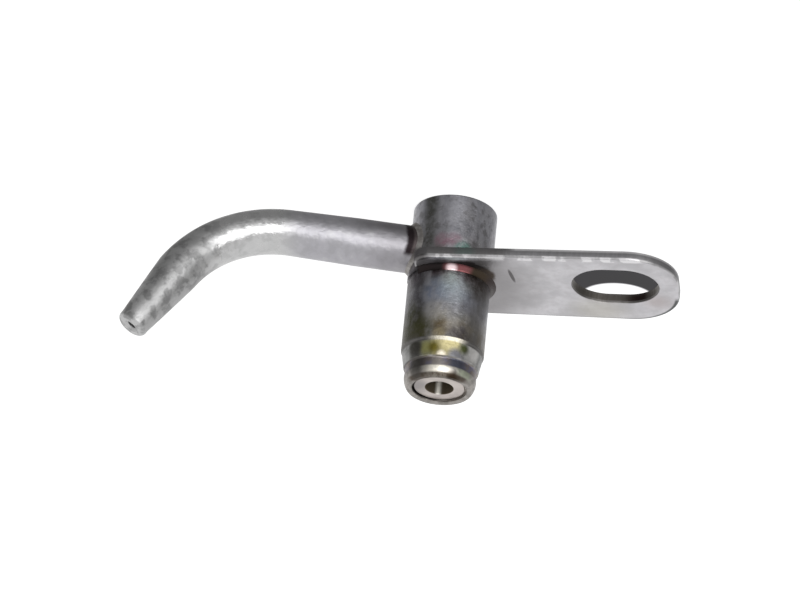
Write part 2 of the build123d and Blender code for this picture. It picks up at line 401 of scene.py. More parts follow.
class Finish:
    """One material's node tree, or the world's."""

    def __init__(self, tree):
        self.tree = tree
        self.tree.nodes.clear()
        self.column = 0

    def node(self, kind, settings, *inputs, output=0, **named):
        """Adds a node. Settings come first, then values or wires of its sockets."""
        made = self.tree.nodes.new("ShaderNode" + kind)
        self.column += 1
        made.location = (self.column * 40, -self.column * 30)
        for key, value in settings.items():
            setattr(made, key, value)
        for place, value in enumerate(inputs):
            self.feed(made.inputs[place], value)
        for key, value in named.items():
            self.feed(made.inputs[key.replace("_", " ")], value)
        if output is None or not made.outputs:
            return made
        return Wire(self, made.outputs[output])

    def feed(self, socket, value):
        if isinstance(value, Wire):
            self.tree.links.new(value.socket, socket)
        elif socket.type == "RGBA":
            red, green, blue = value if hasattr(value, "__len__") else (value,) * 3
            socket.default_value = (red, green, blue, 1)
        else:
            socket.default_value = value

    def place(self):
        """Object coordinates in millimetres."""
        coordinates = self.node("TexCoord", {}, output="Object")
        return self.node("VectorMath", {"operation": "SCALE"}, coordinates, Scale=1 / MM)

    def parts(self, vector):
        """The three parts of a vector."""
        made = self.node("SeparateXYZ", {}, vector, output=None)
        return [Wire(self, socket) for socket in made.outputs]

    def stretched(self, vector, x, y, z):
        return self.node("VectorMath", {"operation": "MULTIPLY"}, vector, (x, y, z))

    def flat(self, place):
        """The place seen along the body's axis, and its distance from that axis."""
        flat = self.stretched(place, 1, 1, 0)
        return flat, self.distance(flat, (0, 0, 0))

    def distance(self, vector, point):
        return self.node("VectorMath", {"operation": "DISTANCE"}, vector, point, output="Value")

    def noise(self, vector, scale, detail=4.0, rough=0.55):
        return self.node("TexNoise", {}, Vector=vector, Scale=scale, Detail=detail, Roughness=rough)

    def stops(self, value, stops):
        """A colour ramp of (position, colour) stops."""
        made = self.node("ValToRGB", {}, value, output=None)
        elements = made.color_ramp.elements
        elements.remove(elements[1])
        elements[0].position = stops[0][0]
        elements[0].color = (*stops[0][1], 1)
        for position, stop_colour in stops[1:]:
            elements.new(position).color = (*stop_colour, 1)
        return Wire(self, made.outputs["Color"])

    def mix(self, share, first, second):
        """A blend of two colours."""
        made = self.node("Mix", {"data_type": "RGBA"}, output=None)
        self.feed(made.inputs["Factor"], share)
        self.feed(made.inputs[6], first)
        self.feed(made.inputs[7], second)
        return Wire(self, made.outputs[2])

    def coats(self, base, *coats):
        """Lays colours over a base one after another, each through its own mask."""
        for mask, coat in coats:
            base = self.mix(mask, base, coat)
        return base

    def spot(self, vector, point, radius, soft):
        """1 within a radius of a point in millimetres, fading out over a soft width. On a flat
        place it is a column along the body's axis."""
        return 1 - self.distance(vector, point).between(radius - soft, radius + soft)

    def stains(self, base, vector, stains, strength=1.0):
        """Lays a table of spots over a base."""
        for point, radius, soft, share, stain in stains:
            mask = self.spot(vector, point, radius, soft) * (strength * share)
            base = self.mix(mask, base, stain)
        return base

    def metal(self, base, rough, bump, bump_distance):
        """Ends the tree in one metallic surface."""
        normal = self.node("Bump", {}, Strength=1.0, Distance=bump_distance * MM, Height=bump)
        surface = self.node(
            "BsdfPrincipled", {}, Base_Color=base, Roughness=rough, Metallic=1.0, Normal=normal
        )
        self.node("OutputMaterial", {}, surface)


def new_material(name):
    """A material, its tree and object coordinates in millimetres."""
    material = bpy.data.materials.new(name)
    material.use_nodes = True
    finish = Finish(material.node_tree)
    return material, finish, finish.place()


def times(tint, factor):
    """A colour made darker or lighter."""
    return tuple(factor * part for part in tint)


# Heat tints of the body by height in millimetres, from the head's end to the taper, and the
# heights where their ramp starts and what it spans. The tints darken towards the plate from both
# sides; the near-black row at 1.0 mm, just above the plate, is painted shade at the plate's foot.
BODY_TINTS_AND_SHADE = (
    (-11.7, (0.33, 0.33, 0.36)),
    (-5.5, (0.34, 0.335, 0.36)),
    (-3.2, (0.25, 0.235, 0.24)),
    (-1.4, (0.15, 0.135, 0.125)),
    (1.0, (0.05, 0.035, 0.037)),
    (1.7, (0.14, 0.12, 0.13)),
    (2.7, (0.24, 0.25, 0.25)),
    (4.5, (0.22, 0.23, 0.265)),
    (6.8, (0.23, 0.23, 0.25)),
    (8.0, (0.25, 0.24, 0.225)),
    (9.2, (0.17, 0.148, 0.11)),
    (11.0, (0.14, 0.12, 0.08)),
)
TINTS_START, TINTS_SPAN = -12.0, 30.0

# Tables of stains, painted reflections and painted highlights. A row gives a point in
# millimetres, radius, soft width, share and colour. Streaks and columns run along the body's axis,
# so their points have no height.
# Painted reflection streaks down the head: dark on the +X side, light at the front, grey on the -X
# side.
HEAD_REFLECTION_STREAKS = (
    ((2.9, -5.35, 0), 1.0, 0.7, 0.9, (0.085, 0.085, 0.075)),
    ((-0.7, -6.05, 0), 1.0, 0.7, 0.55, (0.46, 0.46, 0.50)),
    ((-2.9, -5.4, 0), 0.7, 0.5, 0.4, (0.16, 0.155, 0.16)),
)
# Painted reflection streaks down the spigot: dark on the +X flank, mid-grey on the -X flank, light
# at the front.
SPIGOT_REFLECTION_STREAKS = (
    ((4.6, -3.8, 0), 2.6, 0.9, 0.85, (0.085, 0.08, 0.085)),
    ((-5.2, -2.6, 0), 2.2, 0.9, 0.6, (0.21, 0.205, 0.20)),
    ((-1.7, -5.7, 0), 1.0, 0.8, 0.45, (0.42, 0.42, 0.44)),
)
BODY_STAINS_AND_REFLECTIONS = (
    # The next three rows are painted reflections on the head: pink, pink and teal.
    ((0.8, -6.0, -4.2), 1.0, 0.6, 0.8, (0.34, 0.19, 0.24)),
    ((-1.0, -5.9, -4.3), 1.0, 0.6, 0.8, (0.34, 0.19, 0.24)),
    ((-2.2, -5.7, -3.0), 1.1, 0.7, 0.9, (0.13, 0.27, 0.23)),
    ((-2.1, -5.7, -6.3), 1.5, 1.0, 0.7, (0.20, 0.20, 0.22)),
    # The next three rows are painted reflections on the spigot's front: greenish white and two
    # blues.
    ((-0.9, -5.9, 2.3), 1.2, 0.8, 0.8, (0.36, 0.43, 0.38)),
    ((1.0, -5.9, 4.0), 1.8, 1.2, 0.75, (0.22, 0.26, 0.36)),
    ((-1.4, -5.8, 3.6), 1.9, 1.3, 0.8, (0.40, 0.45, 0.49)),
    ((-5.0, -3.3, 1.3), 2.6, 1.6, 0.85, (0.05, 0.04, 0.032)),
    ((0.8, -5.95, 7.9), 2.0, 1.2, 0.75, (0.44, 0.42, 0.39)),
    ((4.9, -3.6, 8.4), 3.0, 1.4, 0.95, (0.05, 0.05, 0.022)),
    ((2.6, -5.4, 10.2), 1.7, 1.0, 0.9, (0.085, 0.085, 0.035)),
    ((0.4, -6.0, 9.0), 1.0, 0.7, 0.8, (0.30, 0.27, 0.21)),
    ((-0.3, -6.0, 9.9), 1.2, 0.7, 0.85, (0.13, 0.095, 0.045)),
    ((0.1, -6.0, 11.0), 0.9, 0.4, 0.8, (0.34, 0.29, 0.19)),
    ((-1.9, -5.7, 9.6), 1.3, 0.9, 0.6, (0.36, 0.33, 0.28)),
    ((-2.9, -5.3, 11.0), 1.7, 0.8, 0.9, (0.085, 0.075, 0.078)),
)
TAPER_STAINS_AND_HIGHLIGHTS = (
    ((1.7, -5.2, 13.0), 1.1, 0.7, 1, (0.34, 0.33, 0.14)),
    # Painted reflection, light, on the taper's -X flank.
    ((-4.9, -3.3, 12.6), 1.5, 0.8, 1, (0.62, 0.61, 0.59)),
    ((-2.6, -4.9, 14.1), 1.2, 0.6, 1, (0.15, 0.15, 0.16)),
    ((3.4, -4.4, 12.6), 1.1, 0.6, 1, (0.05, 0.05, 0.036)),
    ((0.65, -5.55, 13.0), 0.75, 0.5, 1, (0.16, 0.135, 0.028)),
    ((-3.6, -4.3, 12.6), 0.75, 0.5, 1, (0.075, 0.085, 0.035)),
    # Painted highlight, cream, at the taper's lower edge in front.
    ((-0.5, -5.35, 14.1), 0.6, 0.35, 1, (0.74, 0.68, 0.56)),
)
NECK_COLUMNS_AND_HIGHLIGHT = (
    ((-2.9, -4.4, 0), 1.3, 0.7, 1, (0.085, 0.088, 0.115)),
    ((3.0, -4.3, 0), 1.4, 0.8, 1, (0.09, 0.08, 0.08)),
    # Painted highlight: a light column at the front.
    ((-0.1, -5.2, 0), 0.8, 0.6, 1, (0.34, 0.31, 0.29)),
)
PLATE_STAINS = (
    ((-21.5, 6.3, 0), 3.4, 2.6, 0.45, (0.42, 0.40, 0.33)),
    ((-30.2, 3.2, 0), 1.8, 1.5, 0.40, (0.42, 0.35, 0.34)),
)


def body_finish():
    """Turned steel under worn zinc: streaks down the head, heat tints and stains by height, with
    painted reflections, highlights and shade laid over them.
    """
    material, finish, place = new_material("worn_zinc_with_painted_light")
    tint = colours()
    x, y, z = finish.parts(place)
    flat, radius = finish.flat(place)
    drift = finish.noise(place, 0.45) - 0.5
    base = finish.stops(
        (z + 1.1 * drift - TINTS_START) / TINTS_SPAN,
        [((height - TINTS_START) / TINTS_SPAN, heat) for height, heat in BODY_TINTS_AND_SHADE],
    )
    streaks = finish.noise(finish.stretched(place, 0.5, 0.5, 0.09), 1.0, 3.0, 0.5)
    grain = finish.noise(place, 0.75)
    base = finish.coats(
        base,
        (0.7 * streaks.between(0.44, 0.68), (0.44, 0.435, 0.46)),
        (0.6 * streaks.between(0.48, 0.30), (0.10, 0.098, 0.10)),
        (0.30 * grain.between(0.50, 0.66), (0.42, 0.42, 0.43)),
        (0.45 * grain.between(0.48, 0.34), (0.09, 0.085, 0.075)),
    )
    patchy = finish.noise(place, 0.9, 5.0, 0.65).between(0.36, 0.6)
    head = z.between(0.0, -0.6)
    # Painted reflection streaks down the head and the spigot, then stains with painted reflections
    # among them.
    base = finish.stains(base, flat, HEAD_REFLECTION_STREAKS, head * (0.6 + 0.4 * patchy))
    base = finish.stains(base, flat, SPIGOT_REFLECTION_STREAKS, (1 - head) * (0.6 + 0.4 * patchy))
    base = finish.stains(base, place, BODY_STAINS_AND_REFLECTIONS, 0.45 + 0.55 * patchy)

    # The taper's straw tint is laid only at the front, partly passivation and partly a painted
    # highlight.
    taper = finish.mix(patchy, (0.20, 0.20, 0.195), (0.30, 0.30, 0.295))
    straw = finish.mix((z + 1.5 * drift).between(12.2, 13.8), tint.straw, times(tint.straw, 0.62))
    taper = finish.mix(finish.spot(flat, (-1.1, -5.5, 0), 2.2, 0.7), taper, straw)
    taper = finish.stains(taper, place, TAPER_STAINS_AND_HIGHLIGHTS)
    # Painted highlight at the front of the shoulder, painted shade round the rest of it.
    shoulder_highlight_and_shade = finish.mix(
        finish.spot(flat, (-1.3, -5.6, 0), 2.4, 1.0), (0.13, 0.125, 0.12), (0.64, 0.60, 0.50)
    )
    neck = finish.mix(patchy, tint.violet, (0.21, 0.18, 0.16))
    neck = finish.stains(neck, flat, NECK_COLUMNS_AND_HIGHLIGHT)
    # The nose, with a painted highlight at its front and a light green patch on its -X flank.
    nose = finish.coats(
        finish.mix(patchy, (0.23, 0.215, 0.20), (0.34, 0.32, 0.30)),
        (finish.spot(flat, (-0.2, -5.05, 0), 1.7, 1.0), (0.92, 0.87, 0.77)),
        (finish.spot(flat, (-3.9, -3.3, 0), 1.1, 0.8) * z.between(16.9, 16.4), (0.42, 0.45, 0.35)),
    )
    # The mouth's wall round the ring: light on the -X side, with painted shade in the gap on the +X
    # side.
    mouth = finish.mix(x.between(-0.3, 1.6), (0.50, 0.47, 0.44), (0.06, 0.058, 0.056))
    # Painted shade on the rim's face, between the nose's highlight and the ring.
    rim_shade = radius.between(5.10, 4.92) * z.between(16.4, 16.7) * y.between(-2.2, -3.2)
    # Painted shade on the +X flank where the taper starts.
    flank_shade = finish.spot(flat, (3.3, -4.3, 0), 1.0, 0.5) * z.between(11.6, 12.4)
    base = finish.coats(
        base,
        (z.between(11.35, 11.65) * z.between(14.25, 14.05), taper),
        (z.between(11.3, 11.45) * z.between(12.05, 11.82), shoulder_highlight_and_shade),
        (z.between(14.2, 14.4) * z.between(15.85, 15.5), neck),
        (z.between(15.5, 15.85), nose),
        # Painted shade on the rim's face, darkest in one spot.
        (rim_shade * (0.85 + 0.15 * patchy), (0.085, 0.068, 0.054)),
        (finish.spot(place, (-2.3, -4.15, 17.1), 0.85, 0.6), (0.035, 0.024, 0.016)),
        (z.between(16.95, 16.75) * radius.between(4.15, 4.0), mouth),
        (0.8 * flank_shade, (0.07, 0.066, 0.06)),
    )
    marks = finish.noise(finish.stretched(place, 0.12, 0.12, 5.0), 1.0, 3.0)
    pits = finish.noise(place, 1.6, 5.0, 0.7).between(0.35, 0.6)
    rough = 0.29 + 0.14 * finish.noise(place, 0.8) + 0.08 * (1 - patchy)
    finish.metal(base, rough, 0.6 * marks + pits + 5.0 * grain + 6.0 * drift, 0.012)
    return material


def plate_finish():
    """Satin sheet steel with sheared sides, worn edges and flux burned round the body, with painted
    shade round the body and under the head, and painted highlights and a painted reflection on the
    edges and side.
    """
    material, finish, place = new_material("satin_plate_with_painted_light")
    tint = colours()
    x, y, z = finish.parts(place)
    radius = finish.flat(place)[1]
    cloud = finish.noise(place, 0.22, 5.0)
    grain = finish.noise(place, 1.1, 5.0, 0.65)
    base = finish.mix(cloud.between(0.35, 0.65), times(tint.plate, 0.80), times(tint.plate, 1.04))
    base = finish.mix(0.35 * grain.between(0.45, 0.65), base, (0.45, 0.43, 0.44))
    base = finish.stains(base, place, PLATE_STAINS)

    # Heat and burnt flux round the body; in front of the spigot it turns near-black, painted shade
    # where the plate meets the spigot.
    uneven = 1.6 * (finish.noise(place, 0.5, 5.0, 0.6) - 0.5)
    ragged = radius + uneven
    away = finish.distance(place, (-2.4, -3.0, 0)) + uneven
    burnt_and_shaded = away.between(4.9, 4.1) * y.between(-7.9, -7.5) * y.between(-0.5, -2.5)
    burnt_and_shaded = burnt_and_shaded + 0.7 * ragged.between(7.2, 6.6) * x.between(-5.5, -4.5) * (1 - burnt_and_shaded)
    scale = finish.coats(
        tint.scale,
        (grain, (0.10, 0.075, 0.05)),
        # Near-black in front of the spigot: painted shade where the plate meets it.
        (y.between(-4.5, -6.0), (0.016, 0.013, 0.012)),
    )

    # The near edge is worn bright in dashes, which also serve as a painted highlight along it; the
    # far edge and the free end's corner get a painted dark line of shade.
    inward = y - 0.017 * x + 8.67
    worn_dashes_and_highlight = finish.noise(finish.stretched(place, 0.35, 0.35, 0.35), 1.0, 3.0).between(0.46, 0.54)
    worn_dashes_and_highlight = worn_dashes_and_highlight * x.between(3.2, 1.8)
    worn_dashes_and_highlight = worn_dashes_and_highlight * (1 - 0.5 * x.between(-3.0, -4.5) * x.between(-9.0, -7.5))
    beside = x.between(-9.0, -7.5) * x.between(2.6, 1.4)
    far_edge_shade = (y + 0.017 * x).between(7.98, 8.28) * x.between(-26.2, -25.9)
    corner = finish.distance(place, (-25.9, 1.75, 0)).between(6.7, 7.0) * x.between(-25.9, -26.2)
    far_edge_shade = far_edge_shade + corner * y.between(1.8, 3.0)

    # One long scratch on the face.
    across = 1.5 * (x + 0.17 * y + 9.97)
    along = 0.22 * y + 0.75
    scratch = (across * across + along * along).between(0.26, 0.08)
    base = finish.coats(
        base,
        # Painted shade on the face round the body.
        (0.85 * ragged.between(16.0, 8.0), (0.25, 0.24, 0.245)),
        (0.95 * burnt_and_shaded, scale),
        # Painted highlight widening the near edge's light line beside the body.
        (inward.between(1.2, 0.8) * beside, (0.50, 0.49, 0.50)),
        (0.65 * inward.between(0.85, 0.5) * worn_dashes_and_highlight, (0.84, 0.83, 0.84)),
        (far_edge_shade * (0.40 + 0.55 * x.between(-21.0, -29.0)), (0.05, 0.056, 0.056)),
        (0.85 * scratch, (0.06, 0.055, 0.055)),
    )

    # Rolled edge, then the sheared sides below it.
    inside_slot = finish.spot(place, (-24.25, -0.9, -0.8), 7.1, 0.4)
    edge = finish.coats(
        (0.30, 0.295, 0.30),
        (worn_dashes_and_highlight, (0.50, 0.49, 0.50)),
        # Painted shade on the rolled edge at the root, beside the head.
        (x.between(2.0, 3.2), (0.10, 0.095, 0.095)),
        (0.8 * inside_slot, (0.14, 0.13, 0.12)),
    )
    sheared = z.between(-0.36, -0.55)
    shear_marks = finish.noise(finish.stretched(place, 2.2, 2.2, 0.25), 1.0, 3.0)
    slot_side = finish.coats(
        (0.06, 0.05, 0.042),
        (shear_marks, (0.16, 0.15, 0.135)),
        (x.between(-24.0, -27.0) * x.between(-29.0, -28.0), (0.02, 0.01, 0.008)),
    )
    side = finish.coats(
        (0.19, 0.185, 0.19),
        (shear_marks, (0.30, 0.295, 0.305)),
        # Painted highlight along the back edge of the plate's side.
        (0.9 * z.between(-1.10, -1.42) * x.between(-9.0, -10.5), (0.74, 0.73, 0.74)),
        # Painted shade on the side near the body, under the head.
        (0.8 * x.between(-10.0, -7.5), (0.13, 0.125, 0.125)),
        # Painted reflection, teal, on the side.
        (0.6 * finish.spot(place, (-2.9, -8.7, -0.9), 1.3, 0.8), (0.11, 0.155, 0.142)),
        (0.95 * inside_slot, slot_side),
        # Painted shade on the side round the root's corner.
        (0.8 * ragged.between(9.2, 8.4) * x.between(1.0, 3.0), (0.12, 0.11, 0.11)),
    )
    base = finish.coats(
        base,
        # Painted shade on the face's edge at the root's corner.
        (0.8 * radius.between(7.9, 8.25) * x.between(2.0, 3.2), (0.09, 0.085, 0.085)),
        (z.between(-0.10, -0.20) * z.between(-0.62, -0.4), edge),
        (sheared, side),
    )
    rough = 0.30 + 0.12 * grain + 0.10 * sheared + 0.22 * burnt_and_shaded
    bump = 2.0 * grain + 8.0 * cloud - 3.0 * scratch + 2.0 * sheared * shear_marks
    finish.metal(base, rough, bump, 0.012)
    return material


def tube_finish():
    """Drawn tube: satin, mottled past the bend, with a painted highlight in the bend, scale beside
    the brazed joint and painted shade near the head.
    """
    material, finish, place = new_material("drawn_tube_with_painted_light")
    tint = colours()
    x, y, z = finish.parts(place)
    radius = finish.flat(place)[1]
    cloud = finish.noise(place, 0.35, 5.0, 0.6)
    mottle = finish.noise(place, 0.6, 3.5)
    ragged = radius + 0.7 * (mottle - 0.5)
    bend = x.between(20.0, 25.0)
    beyond_bend = x.between(31.5, 35.0)
    burnt_and_shaded = z.between(-2.2, -2.9) * ragged.between(8.0, 7.5)
    base = finish.coats(
        times(tint.tube, 0.84),
        (cloud, times(tint.tube, 1.12)),
        # Lighter in the bend: a painted highlight.
        (bend, finish.mix(cloud, 0.46, 0.58)),
        ((0.20 + 0.55 * beyond_bend) * mottle.between(0.52, 0.38), 0.24),
        ((0.25 + 0.35 * beyond_bend) * mottle.between(0.55, 0.68), 0.60),
        (0.40 * x.between(32.5, 35.5) * x.between(43.0, 41.0), 0.17),
        # Painted shade on the tube near the head, darkest on its -Z side.
        (0.45 * ragged.between(17.0, 8.0), (0.24, 0.225, 0.24)),
        (0.5 * ragged.between(17.0, 10.0) * z.between(-5.2, -6.4), (0.13, 0.12, 0.13)),
        # Dark crescent where the tube meets the head: flux burned dark, and painted shade in the
        # joint.
        (burnt_and_shaded, finish.mix(radius.between(7.1, 6.7), (0.028, 0.021, 0.023), (0.09, 0.075, 0.075))),
    )
    rough = 0.40 - 0.17 * bend + 0.12 * (mottle - 0.3) + 0.22 * beyond_bend + 0.1 * burnt_and_shaded
    finish.metal(base, rough, 5.0 * mottle + 9.0 * cloud, 0.02)
    return material


def ring_finish():
    """Bright turned ring, its bore dark with oil, with a painted highlight down the bore and
    painted shade on its +X side and in the gap round it.
    """
    material, finish, place = new_material("turned_ring_with_painted_light")
    tint = colours()
    x, y, z = finish.parts(place)
    flat, radius = finish.flat(place)
    rings = finish.noise(finish.node("CombineXYZ", {}, radius * 6.0, 0.0, 0.0), 1.0, 2.0)
    stained = finish.noise(place, 0.7)
    bore = radius.between(2.12, 2.04)
    # A painted highlight down the far wall of the bore.
    bore_highlight = finish.spot(flat, (0.36, 1.96, 0), 0.34, 0.30)
    base = finish.coats(
        times(tint.ring, 0.80),
        (stained.between(0.35, 0.7), tint.ring),
        # Painted shade over the ring's +X side.
        (0.8 * finish.spot(flat, (3.4, -0.8, 0), 1.9, 1.1), (0.25, 0.235, 0.235)),
        # The oily bore, with its painted highlight.
        (bore, finish.mix(bore_highlight, (0.14, 0.115, 0.08), (1.0, 0.98, 0.92))),
        # The ring's outer edge: light on the -X side, with painted shade in the gap on the +X side.
        (
            radius.between(3.6, 3.68) * z.between(16.78, 16.7),
            finish.mix(x.between(-0.3, 1.6), (0.45, 0.43, 0.40), (0.06, 0.058, 0.056)),
        ),
    )
    finish.metal(base, 0.26 + 0.10 * stained + 0.45 * bore, rings, 0.006)
    return material


def plate_braze_finish():
    """Brazing metal round the plate, nearly black from the heat, bare pink copper on the near side
    with a painted highlight on it.
    """
    material, finish, place = new_material("copper_braze_with_painted_highlight")
    tint = colours()
    x = finish.parts(place)[0]
    grain = finish.noise(place, 1.3, 5.0, 0.65)
    bare = finish.spot(place, (-1.9, -6.0, 0.4), 1.9, 0.7) * (0.5 + 0.8 * grain)
    base = finish.coats(
        (0.022, 0.018, 0.018),
        (grain, tint.scale),
        (finish.spot(place, (-4.6, -4.4, 0.2), 2.2, 1.2), (0.045, 0.034, 0.024)),
        (x.between(-0.2, 0.6), (0.02, 0.016, 0.016)),
        (bare, tint.copper),
        # A painted highlight on the bare copper.
        (finish.spot(place, (-0.95, -6.1, 0.45), 0.7, 0.4), (0.90, 0.72, 0.74)),
    )
    finish.metal(base, 0.22 + 0.20 * grain, grain, 0.03)
    return material


def tube_braze_finish():
    """Bead where the jet tube enters the head: cleaned, with burnt flux left in places."""
    material, finish, place = new_material("cleaned_braze")
    grain = finish.noise(place, 0.9, 5.0, 0.65)
    base = finish.coats(
        (0.24, 0.225, 0.215),
        (grain.between(0.38, 0.62), (0.40, 0.385, 0.37)),
        (0.7 * finish.spot(place, (5.0, -4.1, -2.8), 0.9, 0.6), (0.07, 0.06, 0.06)),
    )
    finish.metal(base, 0.40 + 0.15 * grain, grain, 0.02)
    return material


def plain_metal(name, base, rough):
    """A metal with small mottling."""
    material, finish, place = new_material(name)
    mottle = finish.noise(place, 0.9, 5.0)
    mottled = finish.mix(mottle, times(base, 0.8), base)
    finish.metal(mottled, rough + 0.1 * mottle, mottle, 0.02)
    return material


class NOZZLE_OT_body(bpy.types.Operator):
    """Turn the valve body with its stepped bore and the tube's hole"""

    bl_idname = "nozzle.body"
    bl_label = "Turn Valve Body"

    def execute(self, context):
        s = sizes()
        cap = 0.3 * HEAD_RADIUS
        drill_tip = 0.02 * s.port_radius
        groove = s.spigot_radius - s.relief_depth
        step = s.chamber_radius - s.spring_bore
        mouth_floor = BODY_REACH - s.mouth_depth
        nose_side = (s.nose_radius, s.nose_round_start)
        rim_edge = (s.rim_radius, s.nose_round_end)
        outside = rounded([
            (cap, HEAD_END, 0),
            (HEAD_RADIUS, HEAD_END, s.edge_round),
            (HEAD_RADIUS, 0, 0),
            (groove, 0, 0),
            (groove, s.relief_width, 0),
            (s.spigot_radius, s.relief_width, s.fine_round),
            (s.spigot_radius, s.spigot_end, s.edge_round),
            (s.taper_start_radius, s.taper_start, s.edge_round),
            (s.taper_end_radius, s.taper_end, s.edge_round),
            (s.neck_radius, s.neck, s.neck_round),
            (*nose_side, 0),
        ])
        inside = rounded([
            (*rim_edge, 0),
            (s.rim_radius - s.rim_bevel, BODY_REACH, s.fine_round),
            (s.mouth_radius + s.mouth_bevel, BODY_REACH, s.fine_round),
            (s.mouth_radius, BODY_REACH - s.mouth_bevel, s.fine_round),
            (s.mouth_radius, mouth_floor, 0),
            (RING_RADIUS, mouth_floor, 0),
            (RING_RADIUS, RING_INNER_END, 0),
            (s.chamber_radius, RING_INNER_END, 0),
            (s.chamber_radius, s.chamber_end + step, 0),
            (s.spring_bore, s.chamber_end, 0),
            (s.spring_bore, s.spring_floor, 0),
            (s.port_radius, s.spring_floor, 0),
            (s.port_radius, s.port_end, 0),
            (drill_tip, s.port_end - s.drill_point, 0),
        ])
        nose = hollow(nose_side, rim_edge, -s.rim_bulge)
        piece = turn("turned_body", outside + nose + inside, FINE_SIDES, closed=False)
        on_end = lambda v: v.co.z < HEAD_END + HAIR
        for wanted in (
            lambda v: on_end(v) and v.co.xy.length < 1.03 * cap,
            lambda v: not on_end(v) and v.co.xy.length < 1.5 * drill_tip,
        ):
            pick(piece, "VERT", wanted)
            bpy.ops.mesh.merge(type="CENTER")
        close_up()
        cut(piece, self.drill(s.tube_radius + s.braze_gap, s.tube_seat, 2 * HEAD_RADIUS))
        cut(piece, self.drill(s.port_radius, 0, s.tube_seat + MM))
        settle(piece, body_finish(), "nozzle", "valve_body")
        return {"FINISHED"}

    def drill(self, radius, start, end):
        """A rod on the jet tube's line, to be cut out of the body."""
        s = sizes()
        middle = tube_heading() * (start + end) / 2
        start_clean()
        bpy.ops.mesh.primitive_cylinder_add(
            vertices=SIDES, radius=radius, depth=end - start,
            location=(middle.x, middle.y, s.tube_height),
            rotation=(0, math.pi / 2, s.tube_heading),
        )
        return bpy.context.object


class NOZZLE_OT_plate(bpy.types.Operator):
    """Stamp the mounting plate with its bolt slot and the body's hole"""

    bl_idname = "nozzle.plate"
    bl_label = "Stamp Mounting Plate"

    def execute(self, context):
        s = sizes()
        middle = (PLATE_ROOT + PLATE_END) / 2
        start_clean()
        bpy.ops.mesh.primitive_plane_add(size=1)
        piece = bpy.context.object
        piece.name = "stamped_plate"
        bpy.ops.object.mode_set(mode="EDIT")
        bpy.ops.transform.resize(value=(PLATE_ROOT - PLATE_END, s.plate_root_width, 1))
        bpy.ops.transform.translate(value=(middle, 0, 0))
        pick(piece, "VERT", lambda v: v.co.x < PLATE_END + MM)
        widen = s.plate_end_width / s.plate_root_width
        bpy.ops.transform.resize(value=(1, widen, 1), center_override=(PLATE_END, 0, 0))
        for at_root, corner in ((True, s.plate_root_corner), (False, s.plate_end_corner)):
            pick(piece, "VERT", lambda v: (v.co.x > middle) == at_root and abs(v.co.y) > MM)
            bpy.ops.mesh.bevel(offset=corner, segments=CORNER_STEPS, affect="VERTICES")
        bpy.ops.mesh.select_all(action="SELECT")
        bpy.ops.mesh.extrude_region_move(TRANSFORM_OT_translate={"value": (0, 0, PLATE_BACK)})
        bpy.ops.mesh.select_all(action="SELECT")
        bpy.ops.mesh.normals_make_consistent()
        on_face = lambda v: abs(v.co.z) < HAIR
        roll(piece, s.plate_edge, 5, on_face)
        roll(piece, s.plate_back_edge, 2, lambda v: abs(v.co.z - PLATE_BACK) < HAIR)
        cut(piece, self.slot_punch())
        margin = 0.1 * MM
        reach_x = s.slot_length / 2 + margin
        reach_y = s.slot_width / 2 + margin
        edit(piece)
        roll(piece, s.slot_edge, 4, lambda v: (
            on_face(v) and abs(v.co.x - s.slot_x) < reach_x and abs(v.co.y - s.slot_y) < reach_y
        ))
        hole = HEAD_RADIUS + s.braze_gap
        punch = turn("punch", [
            (hole, PLATE_BACK - MM),
            (hole, -s.braze_bevel),
            (hole + s.braze_bevel + MM, MM),
        ], FINE_SIDES, closed=False)
        pick(punch, "EDGE", lambda e: e.is_boundary)
        bpy.ops.mesh.edge_face_add()
        close_up()
        cut(piece, punch)
        settle(piece, plate_finish(), "nozzle", "mounting_plate")
        return {"FINISHED"}

    def slot_punch(self):
        """A bar with round ends that punches the bolt slot."""
        s = sizes()
        centre = (s.slot_x, s.slot_y, 0)
        half = (s.slot_length - s.slot_width) / 2
        start_clean()
        bpy.ops.mesh.primitive_cylinder_add(
            vertices=FINE_SIDES, radius=s.slot_width / 2, depth=6 * MM, location=centre
        )
        punch = bpy.context.object
        bpy.ops.object.transform_apply()
        bpy.ops.object.mode_set(mode="EDIT")
        bpy.ops.mesh.bisect(plane_co=centre, plane_no=(1, 0, 0))
        for side in (-1, 1):
            pick(punch, "VERT", lambda v: (v.co.x - s.slot_x) * side > HAIR)
            bpy.ops.transform.translate(value=(side * half, 0, 0))
        return punch


